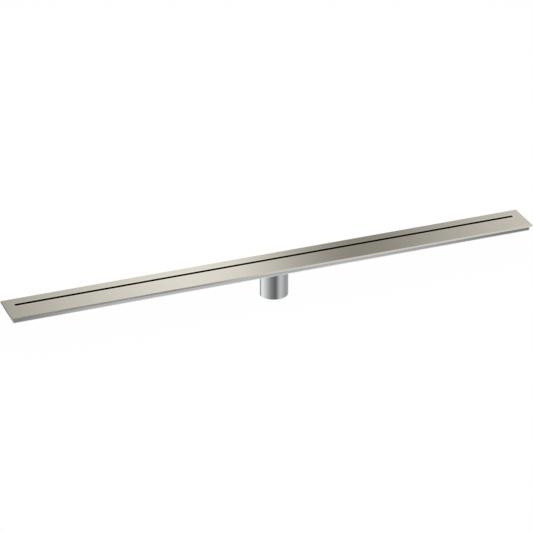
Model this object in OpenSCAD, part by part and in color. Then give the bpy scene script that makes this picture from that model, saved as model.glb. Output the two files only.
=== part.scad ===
// Linear shower drain: a slotted cover over a folded trough with a vertical outlet spigot.
// The origin is the middle of the spigot's lower end. X runs along the drain, Z is up,
// and the slot lies towards the back, at +Y.

/* [Cover] */
// Length of the cover
cover_l = 1000; // [700:10:1500]
// Width of the cover
cover_w = 70; // [69:1:110]
// Thickness of the cover's sheet
cover_t = 1.5; // [1:0.1:2.5]
// Height of the folded edges, measured from the top face
cover_edge_h = 3.5; // [3:0.1:6]
// Outside radius along the folded edges
cover_edge_r = 0.8; // [0.3:0.1:1]

/* [Slot] */
// Width of the slot
slot_w = 5; // [4.5:0.1:8]
// Distance from the back edge of the cover to the middle of the slot
slot_back = 23.3; // [14:0.1:35]
// Plain metal between each end of the slot and the end of the cover
slot_end = 20; // [12:1:60]

/* [Trough] */
// How far the cover reaches past the trough's long sides
side_overhang = 4; // [3:0.1:4.5]
// How far the cover reaches past the trough's ends
end_overhang = 4.5; // [3:0.1:10]
// Height of the trough's walls, from its underside to its rim
trough_h = 11.5; // [11:0.5:40]
// Thickness of the trough's sheet
trough_t = 1.5; // [1:0.1:2]
// Inside radius of the trough's two bends
trough_bend_r = 1.5; // [0.5:0.1:1.8]
// Air between the trough's rim and the cover
rim_gap = 0.3; // [0.2:0.1:1]

/* [Outlet] */
// Outside diameter of the outlet spigot
spigot_d = 53; // [40:0.5:53]
// Wall of the outlet spigot
spigot_t = 1.5; // [1:0.1:2.5]
// Length of the spigot below the trough
spigot_l = 50; // [35:1:120]
// Chamfer outside the spigot's lower end
spigot_chamfer = 0.8; // [0.3:0.1:0.9]
// Leg of the weld between the spigot and the trough
weld_leg = 1.2; // [0.5:0.1:2]

/* [Slot bridges] */
// Number of bridges under the slot
bridge_n = 6; // [2:2:8]
// Length of a bridge along the drain
bridge_l = 20; // [14:1:40]
// Thickness of a bridge's sheet
bridge_t = 1.5; // [1:0.1:1.8]
// Inside radius of a bridge's bends
bridge_bend_r = 0.75; // [0.4:0.05:1]
// Width of each of a bridge's two flanges, over its leg's outer face
bridge_flange_w = 5.5; // [4.5:0.1:7.5]
// Air between a bridge and the trough's walls, which lets the cover drop in
locating_gap = 1; // [0.5:0.1:2]

/* [Bumpers] */
// Diameter of a bumper's foot
bumper_d = 11; // [8:0.5:12]
// Height of a bumper's foot
bumper_h = 4.8; // [3:0.1:5.3]
// Diameter of the stem that passes through the bridge
bumper_stem_d = 4; // [3:0.1:4.5]
// Diameter of the head above the bridge
bumper_head_d = 6.6; // [5.5:0.1:7]
// Height of the head above the bridge
bumper_head_h = 1.2; // [0.8:0.1:1.8]
// Air round the stem in its hole
stem_gap = 0.1; // [0.05:0.05:0.3]

/* [Strainer] */
// Air between the strainer's cup and the spigot's bore
strainer_gap = 0.8; // [0.4:0.1:3]
// Width of the strainer's rim on the trough's floor
strainer_rim_w = 2.5; // [1.5:0.1:2.9]
// Thickness of the strainer's sheet
strainer_t = 0.8; // [0.6:0.1:1]
// Depth of the cup below the trough's floor
strainer_depth = 20; // [16:1:30]
// Inside radius between the cup's wall and its bottom
strainer_bend_r = 2.5; // [1:0.1:3]
// Inside radius between the cup's wall and its rim
strainer_rim_bend_r = 0.6; // [0.3:0.1:0.8]
// Diameter of the holes in the cup's bottom
strainer_hole_d = 4.5; // [3:0.1:5.5]
// Distance from one ring of holes to the next
strainer_ring_pitch = 6.1; // [6:0.1:9]
// Number of slots round the cup's wall
strainer_slot_n = 18; // [8:1:20]
// Width of each slot
strainer_slot_w = 4; // [2:0.1:5]
// Plain wall left above and below each slot
strainer_band = 2.5; // [1:0.1:4]

/* [Strainer handle] */
// Height of the handle above the strainer's rim
handle_h = 7; // [5:0.1:7.5]
// Width of the handle's strip
handle_w = 8; // [5:0.5:12]
// Thickness of the handle's strip
handle_t = 1; // [0.8:0.1:1.2]
// Inside radius of the handle's bends
handle_bend_r = 1.2; // [0.5:0.1:1.2]
// Length of each welded foot on the rim
handle_foot = 2.6; // [2:0.1:3]

/* [Hidden] */
$fn = 64;
// Extra length of a cutting body past the face that it cuts
past = 1;

// Levels, from the spigot's lower end up
trough_z = spigot_l;
floor_z = trough_z + trough_t;
rim_z = trough_z + trough_h;
cover_under_z = rim_z + rim_gap;
cover_top_z = cover_under_z + cover_t;
bridge_z = floor_z + bumper_h;

// Trough
trough_w = cover_w - 2 * side_overhang;
trough_l = cover_l - 2 * end_overhang;
trough_inner_w = trough_w - 2 * trough_t;

// Slot
slot_y = cover_w / 2 - slot_back;
slot_l = cover_l - 2 * slot_end;

// Outlet and strainer
bore_r = spigot_d / 2 - spigot_t;
cup_r = bore_r - strainer_gap;
strainer_rim_r = bore_r + strainer_rim_w;
strainer_flat_r = cup_r - strainer_t - strainer_bend_r;
strainer_rings = floor((strainer_flat_r - strainer_hole_d / 2) / strainer_ring_pitch);
first_ring_holes = 6;
// Holes on one ring of the cup's bottom, where ring 0 is the single hole in the middle
function ring_holes(ring) = max(1, first_ring_holes * ring);

// Bridges and their bumpers
bridge_h = cover_under_z - bridge_z;
bridge_w = trough_inner_w - 2 * locating_gap;
bridge_web_w = bridge_w - 2 * bridge_flange_w;
bumper_y = bridge_web_w / 2 - bridge_t - bridge_bend_r - bumper_head_d / 2;
bumper_chamfer = 0.5;
bumper_head_taper = 0.6;

// Each bridge stands in the middle of its equal share of the slot
function bridge_x(i) = (i - (bridge_n + 1) / 2) * slot_l / bridge_n;

BRIDGES = [for (i = [1 : bridge_n]) str("slot_bridge_", i)];
FRONT_BUMPERS = [for (i = [1 : bridge_n]) str("bumper_front_", i)];
BACK_BUMPERS = [for (i = [1 : bridge_n]) str("bumper_back_", i)];

// Turns a section drawn in X and Y into a bar along X, with the section's height along Z
module bar_along_x(length) {
    rotate([90, 0, 90]) linear_extrude(length, center = true) children();
}

// The same along Y
module bar_along_y(length) {
    rotate([90, 0, 0]) linear_extrude(length, center = true) children();
}

// Section of bent sheet: a quarter ring in the first quadrant
module quarter_bend(bend_r, sheet_t) {
    intersection() {
        difference() {
            circle(bend_r + sheet_t);
            circle(bend_r);
        }
        square(bend_r + sheet_t);
    }
}

// Section of a pan with round lower corners, standing on Y = 0
module pan_section(width, height, corner_r) {
    translate([-width / 2, corner_r]) square([width, height - corner_r]);
    translate([corner_r - width / 2, 0]) square([width - 2 * corner_r, height]);
    for (side = [-1, 1])
        translate([side * (width / 2 - corner_r), corner_r]) circle(corner_r);
}

// Section of a folded hat strip: a web at the bottom, two legs up and two flanges outwards.
// web_w is measured over the legs, and flange_w from one flange's end to the other's.
module hat_section(web_w, flange_w, height, sheet_t, bend_r) {
    outer_r = bend_r + sheet_t;
    half_web = web_w / 2;
    translate([outer_r - half_web, 0]) square([web_w - 2 * outer_r, sheet_t]);
    for (side = [0, 1]) mirror([side, 0]) {
        translate([half_web - outer_r, outer_r]) rotate(-90) quarter_bend(bend_r, sheet_t);
        translate([half_web - sheet_t, outer_r]) square([sheet_t, height - 2 * outer_r]);
        translate([half_web + bend_r, height - outer_r]) rotate(90) quarter_bend(bend_r, sheet_t);
        translate([half_web + bend_r, height - sheet_t])
            square([flange_w / 2 - half_web - bend_r, sheet_t]);
    }
}

// Section across the cover over its folded edges, with its top face on Y = 0
module cover_section(width) {
    mirror([0, 1]) pan_section(width, cover_edge_h, cover_edge_r);
}

module slot_outline() {
    straight = slot_l - slot_w;
    square([straight, slot_w], center = true);
    for (end = [-1, 1]) translate([end * straight / 2, 0]) circle(d = slot_w);
}

// One sheet with its four edges folded down, and the slot cut near the back edge
module cover_plate() {
    color([0.72, 0.70, 0.65]) difference() {
        translate([0, 0, cover_top_z]) intersection() {
            bar_along_x(cover_l) cover_section(cover_w);
            bar_along_y(cover_w) cover_section(cover_l);
        }
        translate([0, 0, cover_under_z - cover_edge_h / 2])
            cube([cover_l - 2 * cover_t, cover_w - 2 * cover_t, cover_edge_h], center = true);
        translate([0, slot_y, cover_under_z - past])
            linear_extrude(cover_t + 2 * past) slot_outline();
    }
}

// Hat strip welded under the cover, which carries the slot's two sides across the gap
module slot_bridge(i) {
    color([0.62, 0.64, 0.65]) translate([bridge_x(i), 0, bridge_z]) difference() {
        bar_along_x(bridge_l)
            hat_section(bridge_web_w, bridge_w, bridge_h, bridge_t, bridge_bend_r);
        for (side = [-1, 1])
            translate([0, side * bumper_y, -past])
                cylinder(d = bumper_stem_d + 2 * stem_gap, h = bridge_t + 2 * past);
    }
}

// Push-in rubber foot: it stands on the trough's floor and is held in the bridge by its head
module bumper(i, side) {
    head_base = bumper_h + bridge_t;
    straight_head = bumper_head_h - bumper_head_taper;
    color([0.12, 0.12, 0.12]) translate([bridge_x(i), side * bumper_y, floor_z]) {
        cylinder(d1 = bumper_d - 2 * bumper_chamfer, d2 = bumper_d, h = bumper_chamfer);
        translate([0, 0, bumper_chamfer]) cylinder(d = bumper_d, h = bumper_h - bumper_chamfer);
        translate([0, 0, bumper_h]) cylinder(d = bumper_stem_d, h = bridge_t);
        translate([0, 0, head_base]) cylinder(d = bumper_head_d, h = straight_head);
        translate([0, 0, head_base + straight_head])
            cylinder(d1 = bumper_head_d, d2 = bumper_stem_d, h = bumper_head_taper);
    }
}

// One sheet folded to a U, with the outlet hole in its floor
module trough() {
    color([0.66, 0.68, 0.69]) difference() {
        translate([0, 0, trough_z]) bar_along_x(trough_l - 2 * trough_t) difference() {
            pan_section(trough_w, trough_h, trough_bend_r + trough_t);
            translate([0, trough_t]) pan_section(trough_inner_w, trough_h, trough_bend_r);
        }
        translate([0, 0, trough_z - past]) cylinder(r = bore_r, h = trough_t + 2 * past);
    }
}

// Flat blank welded flush to one end of the trough
module end_plate(side) {
    color([0.64, 0.66, 0.67])
        translate([side * (trough_l - trough_t) / 2, 0, trough_z])
            bar_along_x(trough_t) pan_section(trough_w, trough_h, trough_bend_r + trough_t);
}

// Plain tube with its weld under the trough and a chamfer at its lower end
module outlet_spigot() {
    spigot_r = spigot_d / 2;
    color([0.68, 0.70, 0.71]) rotate_extrude() polygon([
        [bore_r, 0],
        [spigot_r - spigot_chamfer, 0],
        [spigot_r, spigot_chamfer],
        [spigot_r, spigot_l - weld_leg],
        [spigot_r + weld_leg, spigot_l],
        [bore_r, spigot_l]
    ]);
}

// Section of the strainer's cup from its middle line out: bottom, round bend, wall and rim
module strainer_section() {
    wall_foot = strainer_bend_r + strainer_t - strainer_depth;
    rim_flat_r = cup_r + strainer_rim_bend_r;
    translate([0, -strainer_depth]) square([strainer_flat_r, strainer_t]);
    translate([strainer_flat_r, wall_foot]) rotate(-90) quarter_bend(strainer_bend_r, strainer_t);
    translate([cup_r - strainer_t, wall_foot])
        square([strainer_t, -wall_foot - strainer_rim_bend_r]);
    translate([rim_flat_r, -strainer_rim_bend_r]) rotate(90)
        quarter_bend(strainer_rim_bend_r, strainer_t);
    translate([rim_flat_r, 0]) square([strainer_rim_r - rim_flat_r, strainer_t]);
}

// The slots punched through the cup's straight wall
module strainer_slots() {
    slot_top = -strainer_rim_bend_r - strainer_band;
    slot_foot = strainer_bend_r + strainer_t + strainer_band - strainer_depth;
    for (k = [0 : strainer_slot_n - 1]) rotate([0, 0, k * 360 / strainer_slot_n])
        translate([cup_r - strainer_t - past, -strainer_slot_w / 2, slot_foot])
            cube([strainer_t + 2 * past, strainer_slot_w, slot_top - slot_foot]);
}

// The holes punched through the cup's bottom: one in the middle and rings round it
module strainer_holes() {
    for (ring = [0 : strainer_rings], k = [0 : ring_holes(ring) - 1])
        rotate([0, 0, k * 360 / ring_holes(ring)])
            translate([ring * strainer_ring_pitch, 0, -strainer_depth - past])
                cylinder(d = strainer_hole_d, h = strainer_t + 2 * past);
}

// Pressed cup that hangs by its rim in the outlet
module strainer_basket() {
    color([0.60, 0.62, 0.63]) translate([0, 0, floor_z]) difference() {
        rotate_extrude() strainer_section();
        strainer_slots();
        strainer_holes();
    }
}

// Folded strip over the cup's mouth, with a welded foot at each end on the rim
module strainer_handle() {
    foot_end = sqrt(pow(strainer_rim_r, 2) - pow(handle_w / 2, 2));
    color([0.60, 0.62, 0.63])
        translate([0, 0, floor_z + strainer_t + handle_h]) mirror([0, 0, 1])
            bar_along_y(handle_w)
                hat_section(2 * (foot_end - handle_foot - handle_bend_r), 2 * foot_end,
                            handle_h, handle_t, handle_bend_r);
}

cover_plate();
trough();
end_plate(-1);  // left_end_plate
end_plate(1);  // right_end_plate
outlet_spigot();
strainer_basket();
strainer_handle();
for (i = [1 : bridge_n]) {
    slot_bridge(i);
    bumper(i, -1);
    bumper(i, 1);
}
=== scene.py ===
"""Looks of a linear shower drain: finishes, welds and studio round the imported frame."""

import logging
import math
from dataclasses import dataclass
from enum import Enum
from typing import Dict, Iterable, List, Optional, Sequence, Tuple, Union

import bpy
from mathutils import Matrix, Vector


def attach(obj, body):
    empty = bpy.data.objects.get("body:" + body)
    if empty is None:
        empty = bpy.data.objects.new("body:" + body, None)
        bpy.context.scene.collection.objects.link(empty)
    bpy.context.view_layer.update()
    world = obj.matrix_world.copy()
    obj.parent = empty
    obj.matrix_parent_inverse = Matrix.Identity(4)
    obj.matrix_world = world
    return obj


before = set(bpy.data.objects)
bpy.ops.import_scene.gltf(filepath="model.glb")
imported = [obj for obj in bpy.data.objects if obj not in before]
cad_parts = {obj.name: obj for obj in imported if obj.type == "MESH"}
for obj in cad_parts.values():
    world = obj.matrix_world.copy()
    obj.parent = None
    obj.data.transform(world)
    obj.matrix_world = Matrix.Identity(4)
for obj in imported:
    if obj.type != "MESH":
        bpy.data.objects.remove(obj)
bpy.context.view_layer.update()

BODY = "root"
MM = 0.001

log = logging.getLogger("drain")

Triple = Tuple[float, float, float]
Colour = Tuple[float, float, float, float]
Levels = Tuple[Tuple[float, float], ...]
Number = Union[float, "Value"]
Inputs = Dict[Union[str, int], object]


# The drain's sizes


@dataclass(frozen=True)
class DrainSizes:
    """The drain's sizes in metres.

    Attributes:
        half_length: Half the cover's length.
        half_width: Half the cover's width.
        top: Height of the cover's top face.
        sheet: Thickness of the sheets of the cover, the trough and the bridges.
        slot_width: Width of the slot.
        slot_back: Distance from the cover's back edge to the slot's middle.
        slot_end: Plain metal between an end of the slot and the cover's end.
        side_overhang: How far the cover reaches past the trough's sides.
        end_overhang: How far the cover reaches past the trough's ends.
        trough_height: Height of the trough's walls, from its underside to its rim.
        trough_bend: Inside radius of the trough's bends.
        spigot_radius: Outside radius of the spigot.
        spigot_length: Length of the spigot below the trough.
        bridges: Number of bridges under the slot.
    """

    half_length: float = 500 * MM
    half_width: float = 35 * MM
    top: float = 63.3 * MM
    sheet: float = 1.5 * MM
    slot_width: float = 5 * MM
    slot_back: float = 23.3 * MM
    slot_end: float = 20 * MM
    side_overhang: float = 4 * MM
    end_overhang: float = 4.5 * MM
    trough_height: float = 11.5 * MM
    trough_bend: float = 1.5 * MM
    spigot_radius: float = 26.5 * MM
    spigot_length: float = 50 * MM
    bridges: int = 6

    @property
    def slot_y(self) -> float:
        """Place of the slot's middle across the drain."""
        return self.half_width - self.slot_back

    @property
    def slot_half_length(self) -> float:
        """Half the slot's length."""
        return self.half_length - self.slot_end

    @property
    def inner_half_length(self) -> float:
        """Half the trough's inner length, between its end plates."""
        return self.half_length - self.end_overhang - self.sheet

    @property
    def inner_half_width(self) -> float:
        """Half the trough's inner width."""
        return self.half_width - self.side_overhang - self.sheet

    @property
    def floor(self) -> float:
        """Height of the trough's floor."""
        return self.spigot_length + self.sheet

    @property
    def rim(self) -> float:
        """Height of the rim of the trough's walls."""
        return self.spigot_length + self.trough_height

    @property
    def flange(self) -> float:
        """Height of the underside of the bridges' flanges, one sheet below the cover."""
        return self.top - 2 * self.sheet


SIZES = DrainSizes()


# Node trees


class Value:
    """A socket of a node tree, on which Python's operators add Math nodes."""

    def __init__(self, graph: "Graph", socket: bpy.types.NodeSocket) -> None:
        """Keeps the socket and the graph it belongs to."""
        self.graph = graph
        self.socket = socket

    def __add__(self, other: Number) -> "Value":
        """self + other."""
        return self.graph.math("ADD", self, other)

    def __radd__(self, other: Number) -> "Value":
        """other + self."""
        return self.graph.math("ADD", other, self)

    def __sub__(self, other: Number) -> "Value":
        """self - other."""
        return self.graph.math("SUBTRACT", self, other)

    def __rsub__(self, other: Number) -> "Value":
        """other - self."""
        return self.graph.math("SUBTRACT", other, self)

    def __mul__(self, other: Number) -> "Value":
        """self * other."""
        return self.graph.math("MULTIPLY", self, other)

    def __truediv__(self, other: Number) -> "Value":
        """self / other."""
        return self.graph.math("DIVIDE", self, other)

    def __abs__(self) -> "Value":
        """The size of self without its sign."""
        return self.graph.math("ABSOLUTE", self)

    def at_most(self, limit: Number) -> "Value":
        """The smaller of self and the limit."""
        return self.graph.math("MINIMUM", self, limit)

    def rise(self, start: float, end: float) -> "Value":
        """A smooth step that is 0 up to start and 1 from end on.

        Args:
            start: The value at which the step begins.
            end: The value at which the step is complete.

        Returns:
            The step, from 0 to 1.
        """
        made = self.graph.add(
            "ShaderNodeMapRange",
            {"interpolation_type": "SMOOTHSTEP"},
            {"Value": self, "From Min": start, "From Max": end},
        )
        return made["Result"]


class Made:
    """A node that was added, whose outputs are read by name."""

    def __init__(self, graph: "Graph", node: bpy.types.Node) -> None:
        """Keeps the node and the graph it belongs to."""
        self.graph = graph
        self.node = node

    def __getitem__(self, name: Union[str, int]) -> Value:
        """The output socket of that name or place."""
        return Value(self.graph, self.node.outputs[name])


class Graph:
    """Builds one node tree, of a material, a world or a geometry group."""

    def __init__(self, tree: bpy.types.NodeTree) -> None:
        """Starts from an empty tree."""
        self.tree = tree
        tree.nodes.clear()

    def add(
        self, kind: str, settings: Optional[Dict[str, object]] = None, inputs: Optional[Inputs] = None
    ) -> Made:
        """Adds a node of any kind.

        Args:
            kind: The node's type.
            settings: What is set on the node first; "stops" are a ramp's places and colours.
            inputs: The value or link of each socket, by name or by place.

        Returns:
            The node that was made.
        """
        node = self.tree.nodes.new(kind)
        for key, setting in (settings or {}).items():
            if key == "stops":
                self._set_stops(node.color_ramp, setting)
            else:
                setattr(node, key, setting)
        for key, wanted in (inputs or {}).items():
            if isinstance(wanted, Value):
                self.tree.links.new(wanted.socket, node.inputs[key])
            else:
                node.inputs[key].default_value = wanted
        return Made(self, node)

    @staticmethod
    def _set_stops(ramp: bpy.types.ColorRamp, stops: Sequence[Tuple[float, Triple]]) -> None:
        """Gives a colour ramp its stops, with straight lines between them.

        Args:
            ramp: The ramp.
            stops: The place and colour of each stop, in order.
        """
        ramp.interpolation = "LINEAR"
        while len(ramp.elements) > 1:
            ramp.elements.remove(ramp.elements[-1])
        for number, (place, colour) in enumerate(stops):
            stop = ramp.elements[0] if number == 0 else ramp.elements.new(place)
            stop.position = place
            stop.color = (*colour, 1.0)

    def math(self, operation: str, *terms: Number) -> Value:
        """Adds a Math node on these terms and gives its result."""
        return self.add("ShaderNodeMath", {"operation": operation}, dict(enumerate(terms)))[0]

    def vector(self, operation: str, *terms: object, scale: Optional[Number] = None) -> Value:
        """Adds a Vector Math node whose result is a vector.

        Args:
            operation: The node's operation.
            terms: Its vector inputs in order.
            scale: The factor of a scaling.

        Returns:
            The node's vector.
        """
        inputs: Inputs = dict(enumerate(terms))
        if scale is not None:
            inputs["Scale"] = scale
        return self.add("ShaderNodeVectorMath", {"operation": operation}, inputs)["Vector"]

    def mix_colour(self, share: Number, first: object, second: object) -> Value:
        """Adds a Mix node on colours.

        Args:
            share: How much of the second colour shows.
            first: The colour, or its link, at share 0.
            second: The colour, or its link, at share 1.

        Returns:
            The mixed colour.
        """
        made = self.add("ShaderNodeMix", {"data_type": "RGBA"}, {0: share, 6: first, 7: second})
        return made[2]

    def mix_light(self, share: Number, first: Value, second: Value) -> Value:
        """Adds a Mix Shader, which shows the second shader by that share."""
        return self.add("ShaderNodeMixShader", None, {0: share, 1: first, 2: second})["Shader"]

    def glow(self, colour: object, strength: float) -> Value:
        """Adds an Emission node and gives its light."""
        return self.add("ShaderNodeEmission", None, {"Color": colour, "Strength": strength})["Emission"]

    def end_in(self, shader: Value) -> None:
        """Ends a material's tree in this shader."""
        self.add("ShaderNodeOutputMaterial", None, {"Surface": shader})

    def end_in_surface(self, inputs: Inputs) -> None:
        """Ends a material's tree in one Principled surface with these inputs."""
        self.end_in(self.add("ShaderNodeBsdfPrincipled", None, inputs)["BSDF"])

    def axes(self) -> Made:
        """The place on the object in metres, whose parts are read as X, Y and Z."""
        return self.add("ShaderNodeSeparateXYZ", None, {0: self.add("ShaderNodeTexCoord")["Object"]})

    def noise(self, stretch: Triple, detail: float = 2.0) -> Value:
        """Fractal noise over the object.

        Args:
            stretch: How many lumps a metre holds along X, Y and Z.
            detail: How many finer layers are added.

        Returns:
            The noise, from 0 to 1 with its mean near a half.
        """
        place = self.add("ShaderNodeTexCoord")["Object"]
        stretched = self.add("ShaderNodeMapping", None, {"Vector": place, "Scale": stretch})["Vector"]
        inputs = {"Vector": stretched, "Scale": 1.0, "Detail": detail, "Roughness": 0.5}
        return self.add("ShaderNodeTexNoise", None, inputs)["Fac"]

    def bump(self, height: Value, strength: float, depth: float) -> Value:
        """Adds a Bump node.

        Args:
            height: The height at each place, from 0 to 1.
            strength: How much of the bump shows, from 0 to 1.
            depth: The height of 1 in metres.

        Returns:
            The bumped normal.
        """
        inputs = {"Height": height, "Strength": strength, "Distance": depth}
        return self.add("ShaderNodeBump", None, inputs)["Normal"]


def new_material(name: str) -> Tuple[bpy.types.Material, Graph]:
    """Makes an empty material.

    Args:
        name: The material's name.

    Returns:
        The material and the graph that builds its nodes.
    """
    material = bpy.data.materials.new(name)
    material.use_nodes = True
    return material, Graph(material.node_tree)


def shaded(tint: Triple, factor: float = 1.0) -> Colour:
    """A tint as an opaque colour, made brighter or darker by a factor."""
    return (*(min(1.0, channel * factor) for channel in tint), 1.0)


# Finishes


# Fractal noise keeps near its mean, so the factors below widen its swing
NOISE_MEAN = 0.5
COLOUR_SWING = 8
STREAK_SWING = 4
SLOPE_SWING = 6


class Grain(Enum):
    """Which way a surface was brushed, as the factors on its lines' pitch along X, Y and Z."""

    ALONG = (0.0015, 1.0, 1.0)
    ROUND = (0.03, 0.03, 1.0)
    NONE = (1.0, 1.0, 1.0)


@dataclass(frozen=True)
class CoverPaintedLight:
    """Painted light on the cover: a painted highlight along its folds, painted shade on the slot's walls
    and in a band beside them, and a painted highlight round the slot's rim.

    Attributes:
        reach: How far the painted highlight reaches in from a fold, in metres.
        edge_highlight_gain: How much brighter the painted highlight on the folds makes the metal.
        edge_highlight_share: How strongly the painted highlight shows on a fold.
        edge_smooth: How much smoother the metal is along the folds.
        slot_shade_rim: Width of the painted shade beside the slot, which widens the slot's dark.
        slot_shade_fade: How far that painted shade fades beyond its width.
        slot_shade_tint: The painted shade's near-black colour in linear light.
        slot_shade_rough: How much rougher the metal under the painted shade is.
        slot_highlight_start: Distance from the slot at which its painted highlight begins to fade.
        slot_highlight_end: Distance at which that painted highlight has faded away.
        slot_highlight_gain: How much brighter the painted highlight round the slot is.
    """

    reach: float = 0.9 * MM
    edge_highlight_gain: float = 1.1
    edge_highlight_share: float = 0.6
    edge_smooth: float = 0.05
    slot_shade_rim: float = 0.95 * MM
    slot_shade_fade: float = 0.4 * MM
    slot_shade_tint: Triple = (0.006, 0.005, 0.003)
    slot_shade_rough: float = 0.3
    slot_highlight_start: float = 1.6 * MM
    slot_highlight_end: float = 5.5 * MM
    slot_highlight_gain: float = 1.2

    def _edge_highlight_mask(self, axes: Made) -> Value:
        """A mask that is 1 along the folds, where a highlight is painted.

        Args:
            axes: The place on the cover.

        Returns:
            The mask, from 0 to 1.
        """
        ends = abs(axes["X"]).rise(SIZES.half_length - self.reach, SIZES.half_length)
        sides = abs(axes["Y"]).rise(SIZES.half_width - self.reach, SIZES.half_width)
        return (ends + sides).at_most(1.0)

    def _slot_shade_mask(self, axes: Made) -> Value:
        """A mask that is 1 on the slot's walls and in a band beside them, where shade is painted.

        Args:
            axes: The place on the cover.

        Returns:
            The mask, from 0 to 1.
        """
        side = SIZES.slot_width / 2 + self.slot_shade_rim
        end = SIZES.slot_half_length + self.slot_shade_rim
        walls = 1 - abs(axes["Y"] - SIZES.slot_y).rise(side, side + self.slot_shade_fade)
        return walls * (1 - abs(axes["X"]).rise(end, end + self.slot_shade_fade))

    def _slot_highlight_mask(self, axes: Made) -> Value:
        """A mask that is 1 round the slot's rim, where a highlight is painted.

        Args:
            axes: The place on the cover.

        Returns:
            The mask, from 0 to 1.
        """
        side, end = SIZES.slot_width / 2, SIZES.slot_half_length
        ends = 1 - abs(axes["X"]).rise(end, end + self.slot_highlight_end)
        return ends * (1 - abs(axes["Y"] - SIZES.slot_y).rise(side + self.slot_highlight_start, side + self.slot_highlight_end))

    def lay(self, graph: Graph, tint: Triple, colour: Value, roughness: Value) -> Tuple[Value, Value]:
        """Lays the painted highlights and the painted shade over the cover's finish.

        Args:
            graph: The material's graph.
            tint: The steel's plain colour in linear light.
            colour: The finish's colour so far.
            roughness: Its roughness so far.

        Returns:
            The colour and the roughness with the marks on them.
        """
        axes = graph.axes()
        edge_highlight, slot_shade = self._edge_highlight_mask(axes), self._slot_shade_mask(axes)
        # Painted highlight: the folds are made brighter, standing in for the light on their rounding
        colour = graph.mix_colour(edge_highlight * self.edge_highlight_share, colour, shaded(tint, self.edge_highlight_gain))
        # Painted highlight: a brighter band round the slot's rim
        colour = graph.mix_colour(self._slot_highlight_mask(axes), colour, shaded(tint, self.slot_highlight_gain))
        # Painted shade: the slot's walls and a band beside them are made near black, widening the slot's
        # dark
        colour = graph.mix_colour(slot_shade, colour, shaded(self.slot_shade_tint))
        return colour, roughness - edge_highlight * self.edge_smooth + slot_shade * self.slot_shade_rough


@dataclass(frozen=True)
class InsidePaintedShade:
    """Painted shade on the inside of the trough, making it near black as seen through the slot; the
    inside is also rougher.

    Attributes:
        inside_shade_tint: The painted shade's colour in linear light.
        dull_rough: How much rougher it is than the outside.
        skin: How far it reaches into the sheet, in metres.
    """

    inside_shade_tint: Triple = (0.03, 0.03, 0.03)
    dull_rough: float = 0.25
    skin: float = 0.2 * MM

    def lay(self, graph: Graph, tint: Triple, colour: Value, roughness: Value) -> Tuple[Value, Value]:
        """Paints shade on the trough's inner faces and makes them rougher.

        Args:
            graph: The material's graph.
            tint: The steel's plain colour; not used.
            colour: The finish's colour so far.
            roughness: Its roughness so far.

        Returns:
            The colour and the roughness with the painted shade on them.
        """
        axes = graph.axes()
        end, side = SIZES.inner_half_length, SIZES.inner_half_width
        ends = 1 - abs(axes["X"]).rise(end, end + self.skin)
        sides = 1 - abs(axes["Y"]).rise(side, side + self.skin)
        within = ends * sides * axes["Z"].rise(SIZES.floor - self.skin, SIZES.floor)
        # Painted shade: the inner faces are made near black, standing in for the shade inside the trough
        colour = graph.mix_colour(within, colour, shaded(self.inside_shade_tint))
        return colour, roughness + within * self.dull_rough


# Painted light, meaning painted highlights and painted shade, that a finish can carry
PaintedLight = Union[CoverPaintedLight, InsidePaintedShade]


@dataclass(frozen=True)
class WallRoll:
    """How the trough's walls roll into its folds.

    Attributes:
        foot: Distance of the place where the roll is complete from the underside, in metres.
        head: Distance of the place where it begins from the rim.
        slope: How far the wall leans down at its foot, as a slope.
    """

    foot: float = 3 * MM
    head: float = 1 * MM
    slope: float = 0.13

    def lean(self, graph: Graph) -> Value:
        """How far the wall's normal leans down at each place.

        Args:
            graph: The material's graph.

        Returns:
            The lean as a vector.
        """
        start, end = SIZES.spigot_length + self.foot, SIZES.rim - self.head
        share = 1 - graph.axes()["Z"].rise(start, end)
        return graph.vector("SCALE", (0.0, 0.0, -1.0), scale=share * self.slope)


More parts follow.
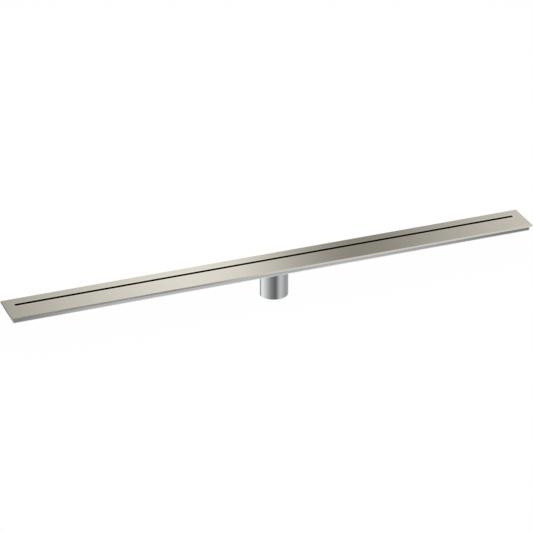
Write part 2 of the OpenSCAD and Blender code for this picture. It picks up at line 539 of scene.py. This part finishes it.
@dataclass(frozen=True)
class Steel:
    """Stainless steel with fine scratches and faint clouds, brushed one way.

    Attributes:
        name: The finish's name.
        tint: Its colour in linear light.
        roughness: Its mean roughness.
        grain: Which way it was brushed.
        slope: How steeply the scratches' sides tip the surface.
        contrast: How much the scratches change the colour.
        streaks: How much the broad streaks change the colour.
        painted_light: The painted highlights and painted shade laid over it, with the roughness changes
            that go with them.
        roll: How its upright faces roll into the folds at their foot.
        lift: How far upright faces lean up all over, as a slope, as on a rounded lip.
        scratch_width: Width of the visible scratches in metres.
        fine_ratio: How many times narrower the finest scratches are.
        streak_width: Width of the broad streaks in metres.
        clouds: How much faint clouds change the roughness.
        cloud_stretch: How many clouds a metre holds along X, Y and Z.
        coarse_in_colour: The visible scratches' share in the colour; the finest take the rest.
        coarse_in_slope: Their share in the slope.
        fine_rough: How much the finest scratches change the roughness.
    """

    name: str
    tint: Triple
    roughness: float
    grain: Grain
    slope: float = 0.5
    contrast: float = 0.06
    streaks: float = 0.0
    painted_light: Optional[PaintedLight] = None
    roll: Optional[WallRoll] = None
    lift: float = 0.0
    scratch_width: float = 0.35 * MM
    fine_ratio: float = 3.7
    streak_width: float = 4 * MM
    clouds: float = 0.03
    cloud_stretch: Triple = (9.0, 30.0, 30.0)
    coarse_in_colour: float = 0.6
    coarse_in_slope: float = 0.35
    fine_rough: float = 0.05

    def _brushed_noise(self, graph: Graph, pitch: float, detail: float) -> Value:
        """Noise drawn out the brushed way.

        Args:
            graph: The material's graph.
            pitch: How many of its lines a metre holds.
            detail: How many finer layers are added.

        Returns:
            The noise, from 0 to 1.
        """
        return graph.noise(tuple(pitch * factor for factor in self.grain.value), detail)

    @staticmethod
    def _together(coarse: Value, fine: Value, share: float) -> Value:
        """Both kinds of scratches with their mean at 0, the coarse ones by that share."""
        return coarse * share + fine * (1 - share) - NOISE_MEAN

    def _colour(self, graph: Graph, coarse: Value, fine: Value) -> Value:
        """The steel's colour under its scratches and streaks.

        Args:
            graph: The material's graph.
            coarse: The visible scratches, from 0 to 1.
            fine: The finest scratches, from 0 to 1.

        Returns:
            The colour.
        """
        spread = self.contrast + self.streaks
        change = self._together(coarse, fine, self.coarse_in_colour) * (self.contrast * COLOUR_SWING)
        if self.streaks:
            streaks = self._brushed_noise(graph, 1 / self.streak_width, 2.0)
            change = change + (streaks - NOISE_MEAN) * STREAK_SWING * (self.streaks / spread / 2)
        dark, light = shaded(self.tint, 1 - spread), shaded(self.tint, 1 + spread)
        return graph.mix_colour(0.5 + change, dark, light)

    def _normal(self, graph: Graph, coarse: Value, fine: Value) -> Value:
        """The surface's normal, tipped across the scratches.

        Args:
            graph: The material's graph.
            coarse: The visible scratches, from 0 to 1.
            fine: The finest scratches, from 0 to 1.

        Returns:
            The tipped normal.
        """
        normal = graph.add("ShaderNodeNewGeometry")["Normal"]
        across: object = (0.0, 0.0, 1.0)
        if self.grain is not Grain.ROUND:
            across = graph.vector("CROSS_PRODUCT", (1.0, 0.0, 0.0), normal)
        tip = self._together(coarse, fine, self.coarse_in_slope) * self.slope * SLOPE_SWING
        lean = graph.vector("SCALE", across, scale=tip)
        if self.roll:
            lean = graph.vector("ADD", lean, self.roll.lean(graph))
        if self.lift:
            lean = graph.vector("ADD", lean, (0.0, 0.0, self.lift))
        return graph.vector("NORMALIZE", graph.vector("ADD", normal, lean))

    def make(self) -> bpy.types.Material:
        """Builds the material.

        Returns:
            The node-based material.
        """
        material, graph = new_material(self.name)
        pitch = 1 / self.scratch_width
        coarse = self._brushed_noise(graph, pitch, 3.0)
        fine = self._brushed_noise(graph, self.fine_ratio * pitch, 2.0)
        clouds = graph.noise(self.cloud_stretch, 3.0)
        colour = self._colour(graph, coarse, fine)
        roughness = self.roughness + (clouds - NOISE_MEAN) * (2 * self.clouds)
        roughness = roughness + (fine - NOISE_MEAN) * self.fine_rough
        # Painted highlights and painted shade over the finish, where it has them
        if self.painted_light:
            colour, roughness = self.painted_light.lay(graph, self.tint, colour, roughness)
        graph.end_in_surface({
            "Base Color": colour,
            "Metallic": 1.0,
            "Roughness": roughness,
            "Normal": self._normal(graph, coarse, fine),
        })
        return material


@dataclass(frozen=True)
class Rubber:
    """Matt moulded rubber with a fine mould grain and a little dust.

    Attributes:
        name: The finish's name.
        tint: Its colour in linear light.
        dust: How much brighter dusty places are.
        dust_stretch: How many dusty places a metre holds.
        dust_range: The noise at which dust begins and at which it is complete.
        roughness: Its mean roughness.
        grain_rough: How much the mould grain changes the roughness.
        grain_size: Size of the mould grain in metres.
        grain_depth: Depth of the mould grain in metres.
        grain_bump: How much of that depth shows.
    """

    name: str = "bumper_rubber_look"
    tint: Triple = (0.022, 0.022, 0.023)
    dust: float = 1.9
    dust_stretch: float = 160.0
    dust_range: Tuple[float, float] = (0.45, 0.75)
    roughness: float = 0.62
    grain_rough: float = 0.15
    grain_size: float = 0.25 * MM
    grain_depth: float = 0.04 * MM
    grain_bump: float = 0.4

    def make(self) -> bpy.types.Material:
        """Builds the material.

        Returns:
            The node-based material.
        """
        material, graph = new_material(self.name)
        grain = graph.noise((1 / self.grain_size,) * 3)
        dusty = graph.noise((self.dust_stretch,) * 3, 3.0).rise(*self.dust_range)
        graph.end_in_surface({
            "Base Color": graph.mix_colour(dusty, shaded(self.tint), shaded(self.tint, self.dust)),
            "Roughness": self.roughness + (grain - NOISE_MEAN) * self.grain_rough,
            "Normal": graph.bump(grain, self.grain_bump, self.grain_depth),
        })
        return material


@dataclass(frozen=True)
class WeldMetal:
    """Bright weld metal with a faint straw heat tint.

    Attributes:
        name: The finish's name.
        tint: The clean metal's colour in linear light.
        heat_tint: The straw colour of its patches.
        heat_share: How much of the straw colour shows there.
        patch_stretch: How many patches a metre holds.
        patch_range: The noise at which a patch begins and at which it is complete.
        roughness: Its mean roughness.
        patch_rough: How much the patches change the roughness.
        ripple_stretch: How many ripples a metre holds.
        ripple_depth: Depth of the ripples in metres.
        ripple_bump: How much of that depth shows.
    """

    name: str = "weld_metal_look"
    tint: Triple = (0.55, 0.56, 0.57)
    heat_tint: Triple = (0.50, 0.44, 0.34)
    heat_share: float = 0.6
    patch_stretch: float = 140.0
    patch_range: Tuple[float, float] = (0.4, 0.7)
    roughness: float = 0.3
    patch_rough: float = 0.2
    ripple_stretch: float = 2500.0
    ripple_depth: float = 0.03 * MM
    ripple_bump: float = 0.5

    def make(self) -> bpy.types.Material:
        """Builds the material.

        Returns:
            The node-based material.
        """
        material, graph = new_material(self.name)
        patches = graph.noise((self.patch_stretch,) * 3, 3.0)
        ripple = graph.noise((self.ripple_stretch,) * 3)
        straw = patches.rise(*self.patch_range) * self.heat_share
        graph.end_in_surface({
            "Base Color": graph.mix_colour(straw, shaded(self.tint), shaded(self.heat_tint)),
            "Metallic": 1.0,
            "Roughness": self.roughness + (patches - NOISE_MEAN) * self.patch_rough,
            "Normal": graph.bump(ripple, self.ripple_bump, self.ripple_depth),
        })
        return material


COVER_STEEL = Steel(
    "cover_steel_look",
    (0.63, 0.60, 0.525),
    0.22,
    Grain.ALONG,
    slope=0.2,
    contrast=0.02,
    streaks=0.025,
    painted_light=CoverPaintedLight(),
    lift=0.45,
)
TROUGH_STEEL = Steel(
    "trough_steel_look",
    (0.66, 0.68, 0.69),
    0.22,
    Grain.ALONG,
    slope=0.15,
    painted_light=InsidePaintedShade(),
    roll=WallRoll(),
)
END_STEEL = Steel("end_steel_look", (0.66, 0.68, 0.69), 0.32, Grain.NONE, contrast=0.03)
SPIGOT_STEEL = Steel(
    "spigot_steel_look", (0.72, 0.74, 0.75), 0.11, Grain.ROUND, slope=0.2, contrast=0.02
)
BRIDGE_STEEL = Steel("bridge_steel_look", (0.52, 0.53, 0.54), 0.34, Grain.NONE)
STRAINER_STEEL = Steel("strainer_steel_look", (0.56, 0.57, 0.58), 0.28, Grain.NONE)
BUMPER_RUBBER = Rubber()
WELD_METAL = WeldMetal()


def dress(nodes: Iterable[str], material: bpy.types.Material) -> None:
    """Gives CAD nodes their finish.

    Args:
        nodes: The nodes' names.
        material: The finish's material.
    """
    for name in nodes:
        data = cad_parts[name].data
        data.materials.clear()
        data.materials.append(material)
        log.info("dressed %s with %s", name, material.name)


# Pieces that repeat or follow a path


@dataclass
class DomeRow:
    """Small domes of metal on points or along a path, made by one Geometry Nodes tree.

    Attributes:
        name: The piece's name.
        slot: The record's material slot.
        length: Size of a dome along the path, in metres.
        width: Its size across the path.
        height: Its size away from the surface.
        pitch: Distance between domes along a path; 0 puts one on each given point.
        unevenness: How much the domes differ in size, from 0 to 1.
        seed: Seed of that difference.
        roundness: How often a dome's faces are split to round it.
    """

    name: str
    slot: str
    length: float
    width: float
    height: float
    pitch: float
    unevenness: float = 0.12
    seed: int = 7
    roundness: int = 2

    def _inputs(self) -> Dict[str, float]:
        """The tree's named inputs and their values, apart from the path and the seed.

        Returns:
            The value of each input by its name.
        """
        return {
            "Length": self.length,
            "Width": self.width,
            "Height": self.height,
            "Pitch": self.pitch or MM,
            "Unevenness": self.unevenness,
        }

    def _tree(self, material: bpy.types.Material) -> bpy.types.NodeTree:
        """Builds the Geometry Nodes tree.

        Args:
            material: The finish of the domes.

        Returns:
            The tree, with named inputs for the domes' sizes.
        """
        tree = bpy.data.node_groups.new(self.name + "_rule", "GeometryNodeTree")
        graph = Graph(tree)
        face = tree.interface
        face.new_socket("Path", in_out="INPUT", socket_type="NodeSocketGeometry")
        for label in self._inputs():
            face.new_socket(label, in_out="INPUT", socket_type="NodeSocketFloat")
        face.new_socket("Seed", in_out="INPUT", socket_type="NodeSocketInt")
        face.new_socket("Geometry", in_out="OUTPUT", socket_type="NodeSocketGeometry")
        given = graph.add("NodeGroupInput")
        steps = {"Length": given["Pitch"]} if self.pitch else {}
        points = graph.add(
            "GeometryNodeCurveToPoints",
            {"mode": "LENGTH" if self.pitch else "EVALUATED"},
            {"Curve": given["Path"], **steps},
        )
        # A dome of diameter 1, which the sizes below then scale
        unit = {"Radius": 0.5, "Subdivisions": self.roundness}
        dome = graph.add("GeometryNodeMeshIcoSphere", None, unit)
        sides = {"X": given["Width"], "Y": given["Height"], "Z": given["Length"]}
        size = graph.add("ShaderNodeCombineXYZ", None, sides)
        spread = graph.add(
            "FunctionNodeRandomValue",
            {"data_type": "FLOAT"},
            {2: 1 - given["Unevenness"], 3: 1 + given["Unevenness"], "Seed": given["Seed"]},
        )
        placed = graph.add(
            "GeometryNodeInstanceOnPoints",
            None,
            {
                "Points": points["Points"],
                "Instance": dome["Mesh"],
                "Rotation": points["Rotation"],
                "Scale": graph.vector("SCALE", size[0], scale=spread[1]),
            },
        )
        smooth = graph.add("GeometryNodeSetShadeSmooth", None, {"Geometry": placed["Instances"]})
        real = graph.add("GeometryNodeRealizeInstances", None, {"Geometry": smooth["Geometry"]})
        finish = {"Geometry": real["Geometry"], "Material": material}
        dressed = graph.add("GeometryNodeSetMaterial", None, finish)
        graph.add("NodeGroupOutput", None, {"Geometry": dressed["Geometry"]})
        return tree

    def make(
        self, paths: Sequence[Sequence[Triple]], closed: bool, material: bpy.types.Material
    ) -> bpy.types.Object:
        """Builds the domes as one plain mesh.

        Args:
            paths: The points of each path in metres.
            closed: Whether each path is a ring.
            material: The finish of the domes.

        Returns:
            The finished piece.
        """
        curve = bpy.data.curves.new(self.name + "_path", "CURVE")
        curve.dimensions = "3D"
        curve.twist_mode = "Z_UP"
        for path in paths:
            spline = curve.splines.new("POLY")
            spline.points.add(len(path) - 1)
            for point, place in zip(spline.points, path):
                point.co = (*place, 1.0)
            spline.use_cyclic_u = closed
        piece = bpy.data.objects.new(self.name, curve)
        bpy.context.scene.collection.objects.link(piece)
        modifier = piece.modifiers.new("rule", "NODES")
        tree = self._tree(material)
        modifier.node_group = tree
        wanted: Dict[str, Union[float, int]] = {**self._inputs(), "Seed": self.seed}
        for socket in tree.interface.items_tree:
            if socket.in_out == "INPUT" and socket.name in wanted:
                modifier[socket.identifier] = wanted[socket.name]
        return plain_mesh(piece, self.name, self.slot)


def plain_mesh(source: bpy.types.Object, name: str, slot: str) -> bpy.types.Object:
    """Turns an object with live modifiers into a plain mesh piece that rides on the drain.

    Args:
        source: The object to evaluate, which is removed.
        name: The piece's name.
        slot: The record's material slot; not used.

    Returns:
        The plain piece.
    """
    graph = bpy.context.evaluated_depsgraph_get()
    mesh = bpy.data.meshes.new_from_object(source.evaluated_get(graph), depsgraph=graph)
    source.modifiers.clear()
    bpy.data.objects.remove(source)
    mesh.name = name
    piece = bpy.data.objects.new(name, mesh)
    bpy.context.scene.collection.objects.link(piece)
    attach(piece, BODY)
    log.info("made %s: %d faces", name, len(mesh.polygons))
    return piece


# Sub-assemblies


@dataclass
class Cover:
    """The slotted cover that lies on top.

    Attributes:
        node: The cover's node.
    """

    node: str = "cover_plate"

    def build(self) -> None:
        """Dresses the cover."""
        dress([self.node], COVER_STEEL.make())


@dataclass
class Trough:
    """The folded trough with its two end plates, welded inside its ends.

    Attributes:
        bead: Width of the weld seam in metres.
        ripple: Distance between the seam's ripples.
        seam_end: How far below the rim the seam ends.
        bend_step: Degrees between the seam's points round a bend.
    """

    bead: float = 1.4 * MM
    ripple: float = 1.0 * MM
    seam_end: float = 1 * MM
    bend_step: int = 15

    def _seam(self, x: float) -> List[Triple]:
        """The path of the weld seam inside one end.

        Args:
            x: Place of the end plate's inner face.

        Returns:
            The points down one wall, along the floor and up the other wall.
        """
        half, bend, head = SIZES.inner_half_width, SIZES.trough_bend, SIZES.rim - self.seam_end
        turns = range(0, 91, self.bend_step)
        path: List[Triple] = [(x, -half, head)]
        for side, order in ((-1, turns), (1, reversed(turns))):
            for turn in order:
                angle = math.radians(turn)
                y = side * (half - bend * (1 - math.cos(angle)))
                path.append((x, y, SIZES.floor + bend * (1 - math.sin(angle))))
        path.append((x, half, head))
        return path

    def build(self) -> None:
        """Dresses the trough and its end plates and welds the ends in."""
        dress(["trough"], TROUGH_STEEL.make())
        dress(["left_end_plate", "right_end_plate"], END_STEEL.make())
        bead = self.bead
        seams = DomeRow("end_weld_seams", "trough_steel", bead, bead, bead, self.ripple)
        paths = [self._seam(side * SIZES.inner_half_length) for side in (-1, 1)]
        seams.make(paths, False, WELD_METAL.make())


@dataclass
class Outlet:
    """The spigot under the trough, with the rippled weld round its top.

    Attributes:
        off_corner: How far the weld's middle lies out from the spigot and below the trough, in metres.
        bead_length: Length of one ripple of the weld.
        bead: Width of the weld.
        ripple: Distance between its ripples.
        ring_step: Degrees between the points of its ring.
    """

    off_corner: float = 0.48 * MM
    bead_length: float = 1.7 * MM
    bead: float = 1.5 * MM
    ripple: float = 1.0 * MM
    ring_step: int = 3

    def build(self) -> None:
        """Dresses the spigot and lays its weld."""
        dress(["outlet_spigot"], SPIGOT_STEEL.make())
        radius = SIZES.spigot_radius + self.off_corner
        height = SIZES.spigot_length - self.off_corner
        ring = [
            (radius * math.cos(math.radians(turn)), radius * math.sin(math.radians(turn)), height)
            for turn in range(0, 360, self.ring_step)
        ]
        bead = self.bead
        weld = DomeRow("outlet_weld", "spigot_steel", self.bead_length, bead, bead, self.ripple)
        weld.make([ring], True, WELD_METAL.make())


@dataclass
class Strainer:
    """The lift-out hair strainer in the outlet.

    Attributes:
        nodes: The strainer's nodes.
    """

    nodes: Tuple[str, ...] = ("strainer_basket", "strainer_handle")

    def build(self) -> None:
        """Dresses the strainer and its handle."""
        dress(self.nodes, STRAINER_STEEL.make())


@dataclass
class Bridges:
    """The folded bridges under the slot, spot-welded to the cover, and their rubber bumpers.

    Attributes:
        flange_y: Place of a flange's middle across the drain, in metres.
        weld_x: Distance of each spot weld from the bridge's middle.
        spot: Diameter of a spot weld.
        spot_height: Height of a spot weld.
    """

    flange_y: float = 26.3 * MM
    weld_x: float = 5 * MM
    spot: float = 2.6 * MM
    spot_height: float = 0.5 * MM

    def _spots(self) -> List[List[Triple]]:
        """The places of the spot welds, two on each flange.

        Returns:
            One short path for each flange.
        """
        pitch = 2 * SIZES.slot_half_length / SIZES.bridges
        spots: List[List[Triple]] = []
        for number in range(SIZES.bridges):
            middle = (number - (SIZES.bridges - 1) / 2) * pitch
            for side in (-1, 1):
                spots.append([
                    (middle + end * self.weld_x, side * self.flange_y, SIZES.flange)
                    for end in (-1, 1)
                ])
        return spots

    def build(self) -> None:
        """Dresses the bridges and bumpers and adds the spot welds."""
        numbers = range(1, SIZES.bridges + 1)
        dress([f"slot_bridge_{n}" for n in numbers], BRIDGE_STEEL.make())
        rubber = BUMPER_RUBBER.make()
        dress([f"bumper_{side}_{n}" for side in ("front", "back") for n in numbers], rubber)
        spot = self.spot
        welds = DomeRow("bridge_spot_welds", "bridge_steel", spot, spot, self.spot_height, 0.0)
        welds.make(self._spots(), False, WELD_METAL.make())


# Studio


WHITE: Colour = (1.0, 1.0, 1.0, 1.0)
WHITE_LEVEL = 1.0


@dataclass(frozen=True)
class Viewpoint:
    """Where the camera stands, from the picture's own geometry.

    Attributes:
        azimuth: Turn round the drain in degrees; 0 looks along +Y.
        elevation: Height above the horizon in degrees.
        depth: Distance of the aim point along the view, in metres.
        focal_px: Focal length in pixels.
        frame_px: Width and height of the picture in pixels.
        aim: The middle of the cover's top.
        aim_px: Where that point lies in the picture.
        sensor: Width of the camera's sensor in millimetres.
        farthest: How far the camera sees, in metres.
    """

    azimuth: float = -21.443
    elevation: float = 27.157
    depth: float = 5.0342
    focal_px: float = 2802.875
    frame_px: int = 533
    aim: Triple = (0.0, 0.0, SIZES.top)
    aim_px: Tuple[float, float] = (273.62, 261.971)
    sensor: float = 36.0
    farthest: float = 100.0

    def _axes(self) -> Tuple[Vector, Vector, Vector]:
        """The camera's right, up and back directions.

        Returns:
            Three unit vectors.
        """
        turn, lift = math.radians(self.azimuth), math.radians(self.elevation)
        right = Vector((math.cos(turn), math.sin(turn), 0.0))
        up = Vector((
            -math.sin(turn) * math.sin(lift), math.cos(turn) * math.sin(lift), math.cos(lift)
        ))
        return right, up, right.cross(up)

    def build(self) -> None:
        """Makes the scene's camera."""
        right, up, back = self._axes()
        data = bpy.data.cameras.new("camera")
        data.sensor_fit = "HORIZONTAL"
        data.sensor_width = self.sensor
        data.lens = self.focal_px / self.frame_px * data.sensor_width
        data.clip_end = self.farthest
        across = (self.aim_px[0] - self.frame_px / 2) / self.focal_px * self.depth
        above = (self.frame_px / 2 - self.aim_px[1]) / self.focal_px * self.depth
        spot = Vector(self.aim) + back * self.depth - right * across - up * above
        turned = Matrix((right, up, back)).transposed().to_4x4()
        camera = bpy.data.objects.new("camera", data)
        camera.matrix_world = Matrix.Translation(spot) @ turned
        bpy.context.scene.collection.objects.link(camera)
        bpy.context.scene.camera = camera


class Bend(Enum):
    """What a card is bent round, and so which way its brightness changes."""

    ACROSS = "the drain's length, with its brightness changing along it"
    UPRIGHT = "an upright line, with its brightness changing round it"


@dataclass(frozen=True)
class Card:
    """A bent studio card that only reflections see, with its levels inside and white outside.

    Attributes:
        name: The card's name.
        middle: The middle of its bend's axis in metres.
        radius: Radius of the bend.
        length: Its length along the bend's axis.
        arc: Where its bend starts and ends, in degrees.
        levels: Places from 0 to 1, and how bright the card is there.
        bend: What it is bent round.
        turn: How far it is turned about Z, in degrees.
        shade: The tint that its darkest places take.
        spare: How far it goes on beyond each end of its levels, as bright as that end.
        steps: Number of faces round its bend.
    """

    name: str
    middle: Triple
    radius: float
    length: float
    arc: Tuple[float, float]
    levels: Levels
    bend: Bend = Bend.ACROSS
    turn: float = 0.0
    shade: Triple = (1.0, 1.0, 1.0)
    spare: float = 0.0
    steps: int = 96

    def _mesh(self) -> bpy.types.Mesh:
        """The card's mesh, part of a tube.

        Returns:
            The mesh.
        """
        first, last = self.arc
        reach = self.length / 2 + self.spare
        corners: List[Triple] = []
        for step in range(self.steps + 1):
            turn = math.radians(first + (last - first) * step / self.steps)
            over, up = self.radius * math.cos(turn), self.radius * math.sin(turn)
            for end in (-reach, reach):
                corners.append((end, over, up) if self.bend is Bend.ACROSS else (over, up, end))
        faces = [(2 * n, 2 * n + 1, 2 * n + 3, 2 * n + 2) for n in range(self.steps)]
        mesh = bpy.data.meshes.new(self.name)
        mesh.from_pydata(corners, [], faces)
        return mesh

    def _colour(self, share: float) -> Triple:
        """The card's colour where it has that share of its top level."""
        return tuple(share * (tint + (1 - tint) * share) for tint in self.shade)

    def _glow(self) -> bpy.types.Material:
        """The card's glow, which follows its levels.

        Returns:
            The material.
        """
        material, graph = new_material(self.name)
        axes = graph.axes()
        if self.bend is Bend.ACROSS:
            share = axes["X"] / self.length + 0.5
        else:
            share = graph.math("ARCTAN2", axes["Y"], axes["X"]) / (2 * math.pi) + 0.5
        top = max(level for _, level in self.levels)
        stops = [(spot, self._colour(level / top)) for spot, level in self.levels]
        ramp = graph.add("ShaderNodeValToRGB", {"stops": stops}, {0: share})
        outside = graph.add("ShaderNodeNewGeometry")["Backfacing"]
        levels, plain = graph.glow(ramp["Color"], top), graph.glow(WHITE, WHITE_LEVEL)
        graph.end_in(graph.mix_light(outside, levels, plain))
        material.cycles.emission_sampling = "NONE"
        return material

    def build(self) -> None:
        """Makes the card, hidden from every ray but glossy ones."""
        mesh = self._mesh()
        card = bpy.data.objects.new(self.name, mesh)
        card.location = self.middle
        card.rotation_euler = (0.0, 0.0, math.radians(self.turn))
        bpy.context.scene.collection.objects.link(card)
        mesh.materials.append(self._glow())
        for ray in ("camera", "diffuse", "transmission", "volume_scatter", "shadow"):
            setattr(card, "visible_" + ray, False)


def hood_card(
    name: str, arc: Tuple[float, float], levels: Levels, shade: Triple = (1.0, 1.0, 1.0)
) -> Card:
    """A card of the long hood over the drain, which its flat faces mirror.

    Args:
        name: The card's name.
        arc: Where it starts and ends round the hood, in degrees.
        levels: Places along the hood from 0 to 1, and how bright the card is there.
        shade: The tint that its darkest places take.

    Returns:
        The card.
    """
    middle, radius, length, spare = (0.157, 0.0, 0.063), 0.48, 1.4, 0.3
    return Card(name, middle, radius, length, arc, levels, shade=shade, spare=spare)


BACK_CARD = hood_card(
    "back_card",
    (-50.0, 100.0),
    (
        (0.02, 0.4), (0.1, 0.555), (0.2, 0.81), (0.36, 1.125), (0.45, 1.07),
        (0.54, 0.6), (0.61, 0.375), (0.67, 0.385), (0.8, 0.665), (0.9, 0.86),
    ),
    shade=(1.0, 0.965, 0.9),
)
TOP_CARD = hood_card(
    "top_card", (100.0, 165.0), ((0.1, 0.52), (0.4, 0.55), (0.48, 0.9), (0.9, 0.95))
)
FRONT_CARD = hood_card(
    "front_card", (165.0, 199.0), ((0.1, 0.1), (0.38, 0.1), (0.46, 0.9), (0.9, 0.87))
)
LOW_CARD = hood_card(
    "low_card",
    (199.0, 236.0),
    (
        (0.12, 0.28), (0.19, 0.55), (0.25, 0.66), (0.4, 0.69),
        (0.5, 0.57), (0.62, 0.63), (0.75, 0.47), (0.84, 0.26),
    ),
)
UNDER_CARD = hood_card(
    "under_card",
    (236.0, 262.0),
    ((0.12, 0.4), (0.19, 0.6), (0.25, 0.95), (0.4, 1.0), (0.62, 1.0), (0.75, 0.8), (0.84, 0.5)),
)

# Places round the spigot in degrees, and how bright its card is there
SPIGOT_LEVELS: Levels = (
    (-180, 0.55), (-160, 0.5), (-140, 0.62), (-118, 1.1), (-100, 1.28), (-85, 1.32),
    (-81, 0.3), (-72, 0.3), (-67, 0.93), (-58, 1.05), (-50, 0.985), (-30, 0.615),
    (-14, 0.315), (4.7, 0.16), (10.3, 0.18), (17, 0.33), (23.5, 0.56), (31, 0.69),
    (62.5, 0.375), (78, 0.48), (88, 0.42), (105, 0.55), (128, 0.6), (157, 0.9), (180, 0.55),
)
SPIGOT_CARD = Card(
    "spigot_card",
    (0.0, 0.0, -0.005),
    SIZES.spigot_radius + 3 * MM,
    0.107,
    (-180.0, 180.0),
    tuple((0.5 + turn / 360, level) for turn, level in SPIGOT_LEVELS),
    bend=Bend.UPRIGHT,
    turn=-111.4,
)


@dataclass
class Studio:
    """The pale floor, the white surroundings, the cards and the lamp.

    Attributes:
        floor_half: Half the floor's side in metres.
        floor_tint: The floor's colour in linear light.
        glow_share: How much of the floor that the camera sees is plain white.
        soft_level: How bright the surroundings are for all other light.
        lamp_watts: Power of the overhead lamp.
        lamp_size: Length and width of the lamp in metres.
        lamp_place: Place of the lamp.
        cards: The cards that the metal mirrors.
    """

    floor_half: float = 12.0
    floor_tint: Triple = (0.86, 0.86, 0.86)
    glow_share: float = 0.97
    soft_level: float = 0.9
    lamp_watts: float = 12.0
    lamp_size: Tuple[float, float] = (2.4, 1.6)
    lamp_place: Triple = (0.0, 0.2, 2.2)
    cards: Tuple[Card, ...] = (BACK_CARD, TOP_CARD, FRONT_CARD, LOW_CARD, UNDER_CARD, SPIGOT_CARD)

    @staticmethod
    def _seen(graph: Graph) -> Value:
        """A mask that is 1 for the rays that show the background: camera, glossy and transmission.

        Args:
            graph: The graph of the floor's material or of the world.

        Returns:
            The mask, 0 or 1.
        """
        path = graph.add("ShaderNodeLightPath")
        rays = path["Is Camera Ray"] + path["Is Glossy Ray"] + path["Is Transmission Ray"]
        return rays.at_most(1.0)

    def _floor(self) -> None:
        """Makes the floor, which keeps a little of the drain's shadow."""
        mesh = bpy.data.meshes.new("floor")
        half = self.floor_half
        corners = [(-half, -half, 0.0), (half, -half, 0.0), (half, half, 0.0), (-half, half, 0.0)]
        mesh.from_pydata(corners, [], [(0, 1, 2, 3)])
        floor = bpy.data.objects.new("floor", mesh)
        bpy.context.scene.collection.objects.link(floor)
        material, graph = new_material("floor_paper")
        paper = graph.add("ShaderNodeBsdfDiffuse", None, {"Color": shaded(self.floor_tint)})
        share = self._seen(graph) * self.glow_share
        graph.end_in(graph.mix_light(share, paper["BSDF"], graph.glow(WHITE, WHITE_LEVEL)))
        material.cycles.emission_sampling = "NONE"
        mesh.materials.append(material)
        floor.visible_glossy = False

    def _surroundings(self) -> None:
        """Makes the world white where it is seen, and soft light for everything else."""
        world = bpy.data.worlds.new("studio")
        world.use_nodes = True
        bpy.context.scene.world = world
        graph = Graph(world.node_tree)
        soft, seen = (
            graph.add("ShaderNodeBackground", None, {"Color": WHITE, "Strength": level})["Background"]
            for level in (self.soft_level, WHITE_LEVEL)
        )
        both = graph.mix_light(self._seen(graph), soft, seen)
        graph.add("ShaderNodeOutputWorld", None, {"Surface": both})
        world.cycles.sampling_method = "NONE"

    def _lamp(self) -> None:
        """Hangs one wide soft lamp overhead."""
        data = bpy.data.lights.new("overhead", "AREA")
        data.shape = "RECTANGLE"
        data.size, data.size_y = self.lamp_size
        data.energy = self.lamp_watts
        lamp = bpy.data.objects.new("overhead", data)
        lamp.location = self.lamp_place
        lamp.visible_glossy = False
        bpy.context.scene.collection.objects.link(lamp)

    def build(self) -> None:
        """Sets up the studio and the camera."""
        self._floor()
        self._surroundings()
        self._lamp()
        for card in self.cards:
            card.build()
        Viewpoint().build()
        bpy.context.scene.view_settings.view_transform = "Standard"


def main() -> None:
    """Builds the drain's looks and the studio."""
    logging.basicConfig(level=logging.INFO, format="%(name)s: %(message)s")
    for part in (Cover(), Trough(), Outlet(), Strainer(), Bridges(), Studio()):
        part.build()
        log.info("finished %s", type(part).__name__)


if __name__ == "__main__":
    main()
